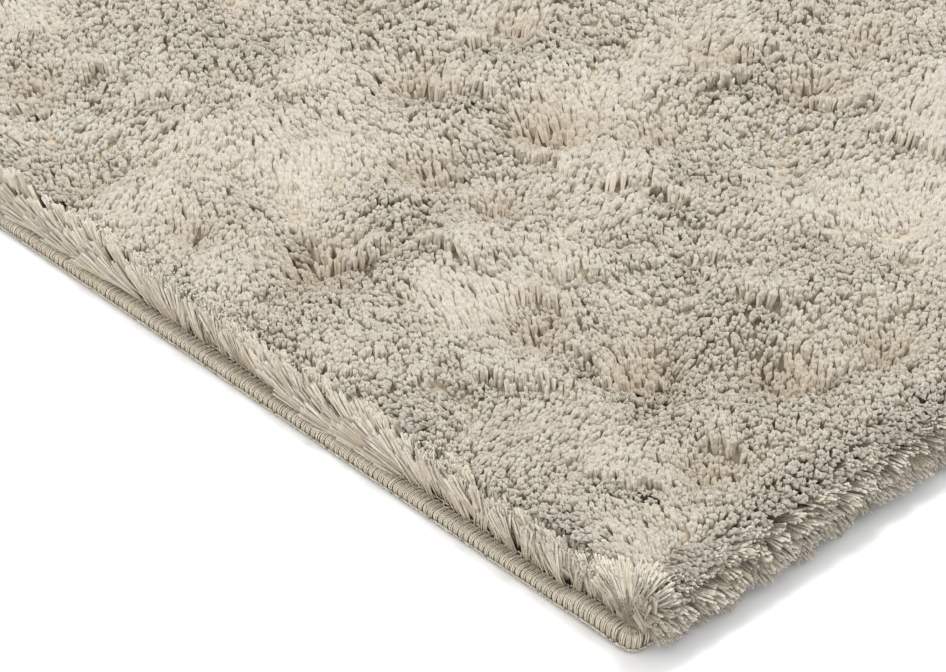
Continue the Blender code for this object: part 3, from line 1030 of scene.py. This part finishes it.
bed = bmesh.new()
across_cells, along_cells = round(2 * RIM_X / BED_CELL), round(2 * RIM_Y / BED_CELL)
bmesh.ops.create_grid(bed, x_segments=across_cells, y_segments=along_cells, size=1.0)
bmesh.ops.scale(bed, vec=(RIM_X - BED_INSET, RIM_Y - 2 * BED_INSET - DRAPE, 1.0), verts=bed.verts)
spot_x, spot_y = np.array([vert.co[:2] for vert in bed.verts]).T
hollow = hollowness(spot_x, spot_y, BED_CORE)
fall, _, _ = rim_fall(spot_x, spot_y)
level = pile_height(spot_x, spot_y) + np.minimum(lie(spot_x, spot_y)[2], 0.0)
level -= fall + BED_BELOW + BED_HOLLOW * hollow
rim = [e for e in bed.edges if e.is_boundary]
for vert, height in zip(bed.verts, level):
    vert.co.z = height - (BED_EDGE_DROP if vert.is_boundary else 0.0)
for made in bmesh.ops.extrude_edge_only(bed, edges=rim)["geom"]:
    if isinstance(made, bmesh.types.BMVert):
        made.co.z = float(cloth_top(made.co.y)) + BED_CLEAR
bmesh.ops.contextual_create(bed, geom=[e for e in bed.edges if e.is_boundary])
bmesh.ops.recalc_face_normals(bed, faces=bed.faces)
bed_piece = set_down("pile_bed", bed)
bed_piece.data.shade_smooth()
# The tint attribute holds how deep in a hollow each point lies: the mask of the painted shade.
shade = bed_piece.data.attributes.new("tint", "FLOAT", "POINT")
skirt_and_base = len(bed_piece.data.vertices) - len(hollow)
shade.data.foreach_set("value", np.pad(hollow, (0, skirt_and_base)).astype(np.float32))
packed_roots, tree, shader = new_finish("pile_roots", {"Roughness": 1.0})
depths = new_node(tree, "TexNoise", Scale=BED_GRAIN, Detail=3.0)
where = new_node(tree, "TexCoord")
sunk = new_node(tree, "Attribute", attribute_name="tint")
light_roots = mix_of(tree, *BED_COLOURS)
# Painted shade, mixed in by the hollow mask.
painted_shade_in_hollows = new_node(tree, "Mix", data_type="RGBA")
painted_shade_in_hollows.inputs["B"].default_value = (*BED_PAINTED_SHADE, 1.0)
uneven_roots = new_node(tree, "Bump", Strength=1.0, Distance=BED_RELIEF)
wire(
    tree,
    (where, "Object", depths, "Vector"),
    (depths, "Fac", light_roots, "Factor"),
    (sunk, "Fac", painted_shade_in_hollows, "Factor"),
    (light_roots, "Result", painted_shade_in_hollows, "A"),
    (painted_shade_in_hollows, "Result", shader, "Base Color"),
    (depths, "Fac", uneven_roots, "Height"),
    (uneven_roots, "Normal", shader, "Normal"),
)
bed_piece.data.materials.append(packed_roots)
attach(bed_piece, "root")
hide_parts("pile")

# ---- pile: brushes at the rim
# At the rim the locks are seen from the side: each is a brush of long fine strands, held
# together at its root and splayed at its tip.

BENT = (0.0, 0.45, 0.955, 1.0)
BRUSH_SOFTNESS = 0.76
LOWEST_ROOT = 0.0050
JUST_OFF_THE_FLOOR = 0.0016
ROOT_SHAKE = 0.0004
LIFT_SPREAD = 0.55
LIFT_LIMIT = 1.2
# How much shorter the strands are at a brush's edges, across and up, and how they vary.
EDGE_SHORT = (0.07, 0.04)
STRAND_LENGTHS = (0.93, 1.03)
STRAND_WIDTHS = (0.8, 1.2)
STRAND_FLAT = (0.7, 1.0)
STRAND_TAPER = (0.85, 1.0)
# Each strand leaves its root straighter than it ends, and bulges a little.
BEND_AT = 0.55
BEND_TURN = (0.6, 0.4)
BEND_OUT = 0.06
BRUSH_TINT = (0.4, 0.22)
STRAND_TINT = 0.08
# The strands' colour, root to tip, with painted shade: darker, warmer tan at the root, where they go in
# among the pile.
RIM_COLOUR_AND_PAINTED_SHADE = (
    (0.0, (0.47, 0.385, 0.28)),
    (0.25, (0.55, 0.48, 0.38)),
    (0.75, (0.55, 0.497, 0.41)),
    (1.0, (0.54, 0.503, 0.430)),
)

rim_yarn = yarn(
    "rim_yarn",
    RIM_COLOUR_AND_PAINTED_SHADE,
    (0.94, 0.895, 0.825),
    across=4.0,
    along=3.0,
    streak_height=0.0002,
    streaks=(0.84, 1.14),
)


def add_brushes(
    name, draw, root, axes, length, strands, splay, base, thick, facing, lowest=JUST_OFF_THE_FLOOR
):
    """One mesh of brushes. Each has a root and three unit axes: the way it aims, and two across
    it. splay is how far its strands part along those two, in radians, and base is how wide its
    root is. No strand comes lower than lowest, and its shading turns towards facing."""
    brushes = len(root)
    count = brushes * strands
    own = np.repeat(np.arange(brushes), strands)
    aim, sideways, upright = (axis[own] for axis in axes)
    across = draw.uniform(-1, 1, count)
    lift = np.clip(draw.normal(0, LIFT_SPREAD, count), -LIFT_LIMIT, LIFT_LIMIT)
    start = root[own] + sideways * (across * base * 0.5)[:, None]
    start = start + draw.normal(0, ROOT_SHAKE, (count, 3))
    swing = (across * splay[0])[:, None]
    tilt = upright * (lift * splay[1])[:, None]
    heading = unit(aim * np.cos(swing) + sideways * np.sin(swing) + tilt)
    early = swing * BEND_TURN[0]
    bulge = aim * np.cos(early) + sideways * np.sin(early) + tilt * BEND_TURN[1]
    shorter = 1 - EDGE_SHORT[0] * across**2 - EDGE_SHORT[1] * lift**2
    reach = length[own] * shorter * draw.uniform(*STRAND_LENGTHS, count)
    tip = start + heading * reach[:, None]
    middle = start + bulge * (reach * BEND_AT)[:, None] + facing[own] * (BEND_OUT * reach)[:, None]
    start[:, 2] = np.maximum(start[:, 2], LOWEST_ROOT)
    tip[:, 2] = np.maximum(tip[:, 2], lowest)
    swell = np.linspace(*STRAND_TAPER, len(BENT) - 2)[None, :] * thick
    swell = swell * draw.uniform(*STRAND_WIDTHS, (count, 1))
    tint = np.repeat(draw.normal(*BRUSH_TINT, brushes), strands)
    tint = np.clip(tint + draw.normal(0, STRAND_TINT, count), 0, 1)
    piece = grow(
        name,
        bent(start, middle, tip, BENT),
        swell,
        sides=3,
        turn=draw.uniform(0, 2 * math.pi, count),
        flat=draw.uniform(*STRAND_FLAT, count),
        along=BENT,
        tint=tint,
        facing=facing[own],
        softness=BRUSH_SOFTNESS,
    )
    pile_pieces.append(piece)


# ---- pile: the long sides
# Seen from the side the locks are long sheaves. The lowest rise from the crease inside the bound
# edge and lie back along it, each over the next one's root, and the upper ones stand in fans.

SIDE_ROWS = (
    # pitch, root height, root inset, length, strand radius, lean along, wander, how far the
    # strands' shading turns sideways, how far they stay below the field
    (0.0042, 0.0056, -0.0016, 0.0225, 0.00064, 1.10, 0.25, 0.9, 0.0022),
    (0.0044, 0.0088, -0.0006, 0.0215, 0.00066, 0.70, 0.50, 0.7, 0.0022),
    (0.0046, 0.0130, 0.0008, 0.0190, 0.00068, 0.30, 0.60, 0.4, 0.0022),
    (0.0046, 0.0185, 0.0030, 0.0150, 0.00070, 0.10, 0.50, 0.2, 0.0034),
)
SIDE_SEED = {-1: 59, 1: 61}
FAN_PITCH = 0.022
SIDE_STRANDS = {-1: 13, 1: 6}
SHEAF_BASE = 0.80
SHEAF_SPLAY = (0.13, 0.08)
SHEAF_LENGTHS = (0.85, 1.1)
SHEAF_SHAKE = 0.35
ROW_SHIFT = 0.004
WAVE_SPREAD = 0.20
ROOT_HEIGHTS = 0.0008
ROOT_DEPTHS = 0.0006
# How far the sheaves lean out over the bound edge: the usual, by stretch (and its pitch), by sheaf.
LEAN_OUT = (0.14, 0.10, 0.014, 0.03)
PAST_THE_END = 0.012
# Sheaves nearer to level, or to upright, than this count as this when their reach is cut.
LEAST_RISE = 0.3
LEAST_RUN = 0.05
SIDE_NOISE = 30
OUT_NOISE = (0.7, 44)
LIT_FROM_ABOVE = 0.9
# Where the sheaves lie down along the edge, and where they stand: place, share of the lean.
LAID = (
    (-0.440, 0.30),
    (-0.420, 0.05),
    (-0.345, 0.10),
    (-0.315, 1.0),
    (-0.245, 1.0),
    (-0.220, 0.20),
    (-0.160, 0.20),
    (-0.130, 1.1),
    (0.1, 0.7),
)


def add_long_side(side, name):
    """The rows of sheaves along one long side, from the bound edge up."""
    draw = np.random.default_rng(SIDE_SEED[side])
    for row, sizes in enumerate(SIDE_ROWS):
        pitch, height, inset, length, thick, leaning, wander, sidelong, below = sizes
        count = int(2 * RIM_Y / pitch)
        y = (np.arange(count) + 0.5) * pitch - RIM_Y
        y = y + draw.uniform(-SHEAF_SHAKE, SHEAF_SHAKE, count) * pitch
        wave = leaning * np.interp(y, *zip(*LAID))
        wave += wander * uneven(y, np.full(count, ROW_SHIFT * row), FAN_PITCH, SIDE_NOISE + side)
        wave += draw.normal(0, WAVE_SPREAD, count)
        usual, more, stretch, apart = LEAN_OUT
        out = usual + more * uneven(y, np.full(count, OUT_NOISE[0]), stretch, OUT_NOISE[1] + row)
        out = out + draw.normal(0, apart, count)
        base_z = cloth_top(y) - CLOTH + height + draw.normal(0, ROOT_HEIGHTS, count)
        behind = inset + ROOT_DEPTHS * draw.uniform(-1, 1, count)
        root = np.stack([side * (BEAD_INNER - behind), y, base_z], axis=1)
        aim = unit(np.stack([side * out, np.sin(wave), np.cos(wave)], axis=1))
        along = np.stack([np.zeros(count), np.cos(wave), -np.sin(wave)], axis=1)
        outward = np.tile((float(side), 0.0, 0.0), (count, 1))
        reach = length * draw.uniform(*SHEAF_LENGTHS, count)
        fallen, _, _ = rim_fall(root[:, 0], root[:, 1])
        ceiling = pile_height(root[:, 0], root[:, 1]) - root[:, 2] - 0.5 * fallen - below
        reach = np.minimum(reach, ceiling / np.maximum(np.cos(wave), LEAST_RISE))
        within = LENGTH / 2 + PAST_THE_END - np.abs(y)
        to_the_end = within / np.maximum(np.abs(np.sin(wave)), LEAST_RUN)
        reach = np.minimum(reach, np.where(y * wave > 0, to_the_end, 1.0))
        add_brushes(
            f"{name}_{row + 1}",
            draw,
            root,
            (aim, along, outward),
            reach,
            SIDE_STRANDS[side],
            SHEAF_SPLAY,
            SHEAF_BASE * pitch,
            thick * (SIDE_STRANDS[-1] / SIDE_STRANDS[side]) ** 0.5,
            unit(np.tile((side * sidelong, 0.0, LIT_FROM_ABOVE), (count, 1))),
        )


add_long_side(-1, "pile_side_left")
add_long_side(1, "pile_side_right")

# ---- pile: the short ends
# Over the turned-under ends the locks fall outwards and hang past the fold in overlapping
# brushes, the lowest just clear of the floor.

END_FALL = (
    # angle up from level, root height, root depth in, length, clear of the corner
    (-30.0, 0.0105, 0.006, 0.0165, 0.007),
    (-6.0, 0.0125, 0.007, 0.0195, 0.005),
    (12.0, 0.0140, 0.008, 0.0200, 0.004),
    (28.0, 0.0155, 0.009, 0.0190, 0.003),
    (44.0, 0.0160, 0.010, 0.0170, 0.003),
)
END_LAYERS = 6
END_PITCH = 0.0056
END_STRANDS = {-1: 15, 1: 8}
END_STRAND = 0.00070
END_SEED = {-1: 79, 1: 81}
END_LENGTHS = (0.86, 1.12)
END_SPLAY = (0.14, 0.12)
END_BASE = 0.0036
# By stretches of the end: degrees that the brushes turn up or down, then radians sideways (and
# by brush), with the length of a stretch, its shift from layer to layer and its seed.
END_TURN = (10, 0.013, 0.008, 51)
END_DRIFT = (0.40, 0.020, 0.012, 53)
END_DRIFT_SPREAD = 0.14
END_LIGHT = 0.45


def by_stretches(x, layer, most, stretch, shift, seed):
    """Smooth ups and downs along an end, of at most so much, that differ by layer."""
    return most * uneven(x, np.full(len(x), shift * layer), stretch, seed)


def add_short_end(side, name):
    """The layers of brushes over one short end, from the lowest up."""
    draw = np.random.default_rng(END_SEED[side])
    angles = [row[0] for row in END_FALL]
    for layer in range(END_LAYERS):
        count = int(2 * RIM_X / END_PITCH)
        x = (np.arange(count) + 0.5 * (layer % 2)) * END_PITCH - RIM_X
        x = x + draw.uniform(-SHEAF_SHAKE, SHEAF_SHAKE, count) * END_PITCH
        turned = (angles[-1] - angles[0]) * (layer + draw.uniform(0, 1, count)) / END_LAYERS
        turned = angles[0] + turned
        turned = turned + by_stretches(x, layer, *END_TURN)
        height, depth, length, clear = (
            np.interp(turned, angles, [row[k] for row in END_FALL]) for k in range(1, 5)
        )
        x = np.clip(x, clear - RIM_X, RIM_X - clear)
        up = np.radians(turned)
        drift = by_stretches(x, layer, *END_DRIFT) + draw.normal(0, END_DRIFT_SPREAD, count)
        height = height + draw.normal(0, ROOT_HEIGHTS, count)
        root = np.stack([x, side * (LENGTH / 2 - depth), height], axis=1)
        aim = unit(np.stack([np.sin(drift), side * np.cos(up), np.sin(up)], axis=1))
        across = np.tile((1.0, 0.0, 0.0), (count, 1))
        upright = unit(np.cross(aim, across) * -side)
        add_brushes(
            f"{name}_{layer + 1}",
            draw,
            root,
            (aim, across, upright),
            length * draw.uniform(*END_LENGTHS, count),
            END_STRANDS[side],
            END_SPLAY,
            END_BASE,
            END_STRAND * (END_STRANDS[-1] / END_STRANDS[side]) ** 0.5,
            unit(END_LIGHT * aim + np.array((0.0, 0.0, LIT_FROM_ABOVE))),
        )


add_short_end(-1, "pile_end_front")
add_short_end(1, "pile_end_back")

# At each corner one lock bursts open over the end of the bound edge, with a longer one beside it.
CORNER_FANS = (
    # root in from the side and from the end, height; aim out, along, up; which ways it opens, out
    # and along; length, sheaves, strands, half opening, share of the length in the middle and how
    # it changes towards the long side; how far it tilts over the end
    (
        ((0.0040, 0.0046, 0.0130), (-0.52, 0.52, 0.68), (0.7, -0.7)),
        (0.0305, 24, 18, 1.30, 0.80, 0.36, 1.0),
    ),
    (
        ((0.0075, 0.0215, 0.0100), (0.15, -0.57, 0.82), (0.0, -1.0)),
        (0.0235, 10, 17, 0.70, 1.0, 0.0, 0.0),
    ),
)
BURST_STRAND = 0.00050
BURST_BASE = 0.0014
BURST_SPLAY = (0.13, 0.10)
BURST_LENGTHS = (0.90, 1.06)
BURST_TILT = (-0.08, 0.12)
BURST_LIGHT = (0.18, 0.06, 0.96)
BURST_SHAKE = (0.0006, 0.05)
BURST_LOWEST = 0.0085
# Only the burst on the front left corner is known: the other corners get a shorter one.
SHORTER = 0.62

# The burst's colour, root to tip, with painted shade: darker tan at the roots, in the middle of the
# burst.
burst_yarn = yarn(
    "burst_yarn",
    ((0.0, (0.52, 0.43, 0.33)), (0.40, (0.62, 0.56, 0.465)), (1.0, (0.655, 0.61, 0.525))),
    (0.95, 0.91, 0.84),
    across=4.0,
    along=3.0,
    streak_height=0.0002,
    streaks=(0.86, 1.12),
)


def add_corner(side, end, name):
    """The locks that burst open over one corner."""
    draw = np.random.default_rng(90 + side + 3 * end)
    known = side < 0 and end < 0
    for k, ((root, aim, opens), sizes) in enumerate(CORNER_FANS):
        length, sheaves, strands, opening, part, change, over = sizes
        place = np.array([[side * (WIDTH / 2 - root[0]), end * (LENGTH / 2 - root[1]), root[2]]])
        place = place + draw.normal(0, BURST_SHAKE[0], (sheaves, 3))
        middle = unit(np.array([[side * aim[0], end * aim[1], aim[2]]]))
        across = np.array([[side * opens[0], end * opens[1], 0.0]])
        across = unit(across - middle * (across * middle).sum())
        share = np.linspace(-1, 1, sheaves) + draw.normal(0, BURST_SHAKE[1], sheaves)
        swing = (opening * share)[:, None]
        outward = unit(np.array([[float(side), end * over, 0.0]]))
        tilt = draw.normal(*BURST_TILT, (sheaves, 1))
        aimed = unit(middle * np.cos(swing) + across * np.sin(swing) + outward * tilt)
        beside = unit(across * np.cos(swing) - middle * np.sin(swing))
        lit = np.array([[side * BURST_LIGHT[0], end * BURST_LIGHT[1], BURST_LIGHT[2]]])
        add_brushes(
            f"{name}_{k + 1}",
            draw,
            place,
            (aimed, beside, np.cross(aimed, beside)),
            length
            * (1.0 if known else SHORTER)
            * np.minimum(part + change * share, 1.0)
            * draw.uniform(*BURST_LENGTHS, sheaves),
            strands,
            BURST_SPLAY,
            BURST_BASE,
            BURST_STRAND,
            np.repeat(unit(lit), sheaves, axis=0),
            lowest=BURST_LOWEST,
        )


for side, side_name in ((-1, "left"), (1, "right")):
    for end, end_name in ((-1, "front"), (1, "back")):
        add_corner(side, end, f"pile_corner_{side_name}_{end_name}")

YARNS = {"field": pile_yarn, "side": rim_yarn, "end": rim_yarn, "corner": burst_yarn}
for piece in pile_pieces:
    piece.data.materials.append(YARNS[piece.name.split("_")[1]])
    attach(piece, "root")
    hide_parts("pile")
